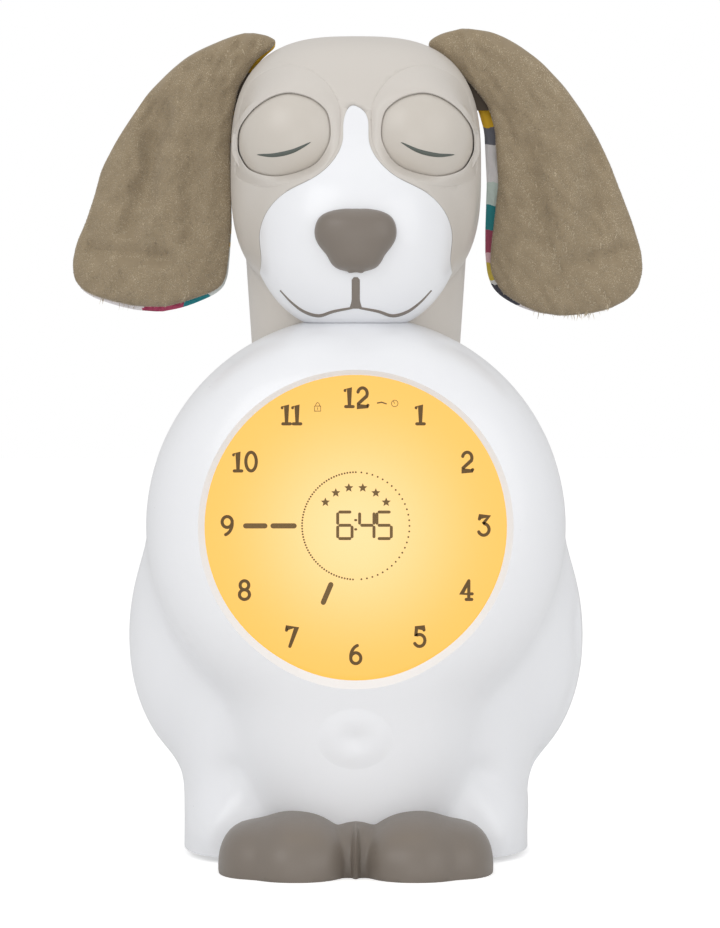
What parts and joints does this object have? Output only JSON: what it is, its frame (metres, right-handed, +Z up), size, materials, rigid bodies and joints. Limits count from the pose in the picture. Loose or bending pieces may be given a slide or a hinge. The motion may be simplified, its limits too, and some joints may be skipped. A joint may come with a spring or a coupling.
{
  "type": "alarm clock night light",
  "caption": "Kids alarm clock and night light shaped as a sitting puppy: round glowing dial in its body, motor-driven closing eyes, plush ears, buttons and battery door behind.",
  "frame": {"origin": "middle of the resting plane, under the dial's middle line and the body's widest section", "axes": "+Z up, -Y towards the viewer of the dial, +X to the viewer's right"},
  "size_m": [0.1544, 0.1116, 0.2216],
  "materials": {
    "white_plastic": "smooth white moulding",
    "beige_plastic": "satin beige moulding",
    "taupe_plastic": "satin taupe moulding",
    "clear_window": "polished clear window",
    "display": "amber display",
    "grey_plastic": "moulded inner part",
    "circuit_board": "green board",
    "black_plastic": "black part",
    "led_white": "lamp",
    "steel": "plated steel",
    "brass": "turned bush",
    "rubber": "soft pad",
    "cell_wrap": "plain wrapped cell",
    "eye_white": "polished white",
    "pupil_dark": "polished dark",
    "plush": "short pile plush"
  },
  "bodies": {
    "root": {"body_front_shell": "white_plastic", "body_rear_shell": "white_plastic", "muzzle_panel": "white_plastic", "base_cover": "white_plastic", "head_front_shell": "beige_plastic", "head_rear_shell": "beige_plastic", "neck_ring": "beige_plastic", "control_panel": "beige_plastic", "ear_tabs": "beige_plastic", "front_paws": "taupe_plastic", "nose": "taupe_plastic", "dial_window": "clear_window", "display_glass": "display", "light_guide": "display", "dial_frame": "grey_plastic", "battery_box": "grey_plastic", "eye_bracket": "grey_plastic", "tact_switches": "grey_plastic", "board_spacers": "grey_plastic", "led_board": "circuit_board", "main_board": "circuit_board", "switch_board": "circuit_board", "power_board": "circuit_board", "board_chips": "black_plastic", "speaker": "black_plastic", "backlight_leds": "led_white", "frame_screws": "steel", "head_screws": "steel", "base_screws": "steel", "shell_screws": "steel", "bracket_screws": "steel", "door_pin": "steel", "idler_pin": "steel", "battery_contacts": "steel", "power_socket": "steel", "eye_motor": "steel", "eye_bushes": "brass", "non_slip_pad": "rubber", "battery_cells": "cell_wrap", "right_ear": "plush", "left_ear": "plush"},
    "eyes": {"right_eyeball": "eye_white", "left_eyeball": "eye_white", "right_eyelid": "beige_plastic", "left_eyelid": "beige_plastic", "right_pupil": "pupil_dark", "left_pupil": "pupil_dark", "eye_shaft": "steel", "eye_gear": "grey_plastic"},
    "idler": {"idler_gear": "grey_plastic"},
    "pinion": {"motor_pinion": "grey_plastic", "motor_shaft": "steel"},
    "battery_door": {"battery_door": "beige_plastic", "battery_door_screw": "steel"},
    "set_button": {"set_button": "taupe_plastic"},
    "alarm_button": {"alarm_button": "taupe_plastic"},
    "lamp_button": {"lamp_button": "taupe_plastic"},
    "down_button": {"down_button": "taupe_plastic"},
    "sound_button": {"sound_button": "taupe_plastic"},
    "up_button": {"up_button": "taupe_plastic"}
  },
  "joints": [
    {"name": "eyes_open", "type": "hinge", "parent": "root", "child": "eyes", "pos_m": [0, -0.0195, 0.1925], "axis": [-1, 0, 0], "range_deg": [0, 110]},
    {"name": "idler_turn", "type": "hinge", "parent": "root", "child": "idler", "pos_m": [0, -0.0033, 0.1925], "axis": [-1, 0, 0], "range_deg": [-94, 1]},
    {"name": "pinion_turn", "type": "hinge", "parent": "root", "child": "pinion", "pos_m": [0, 0.0099, 0.1925], "axis": [-1, 0, 0], "range_deg": [-1, 199]},
    {"name": "battery_door_swing", "type": "hinge", "parent": "root", "child": "battery_door", "pos_m": [0, 0.04369, 0.0205], "axis": [-1, 0, 0], "range_deg": [0, 75]},
    {"name": "set_button_press", "type": "slide", "parent": "root", "child": "set_button", "axis": [0, -1, 0], "range_m": [0, 0.001], "stiffness_N_per_m": 600, "springref_m": -0.0004},
    {"name": "alarm_button_press", "type": "slide", "parent": "root", "child": "alarm_button", "axis": [0, -1, 0], "range_m": [0, 0.001], "stiffness_N_per_m": 600, "springref_m": -0.0004},
    {"name": "lamp_button_press", "type": "slide", "parent": "root", "child": "lamp_button", "axis": [0, -1, 0], "range_m": [0, 0.001], "stiffness_N_per_m": 600, "springref_m": -0.0004},
    {"name": "down_button_press", "type": "slide", "parent": "root", "child": "down_button", "axis": [0, -1, 0], "range_m": [0, 0.001], "stiffness_N_per_m": 600, "springref_m": -0.0004},
    {"name": "sound_button_press", "type": "slide", "parent": "root", "child": "sound_button", "axis": [0, -1, 0], "range_m": [0, 0.001], "stiffness_N_per_m": 600, "springref_m": -0.0004},
    {"name": "up_button_press", "type": "slide", "parent": "root", "child": "up_button", "axis": [0, -1, 0], "range_m": [0, 0.001], "stiffness_N_per_m": 600, "springref_m": -0.0004}
  ],
  "couplings": [
    {"joint": "idler_turn", "follows": "eyes_open", "ratio": -0.8},
    {"joint": "pinion_turn", "follows": "eyes_open", "ratio": 1.7143}
  ]
}
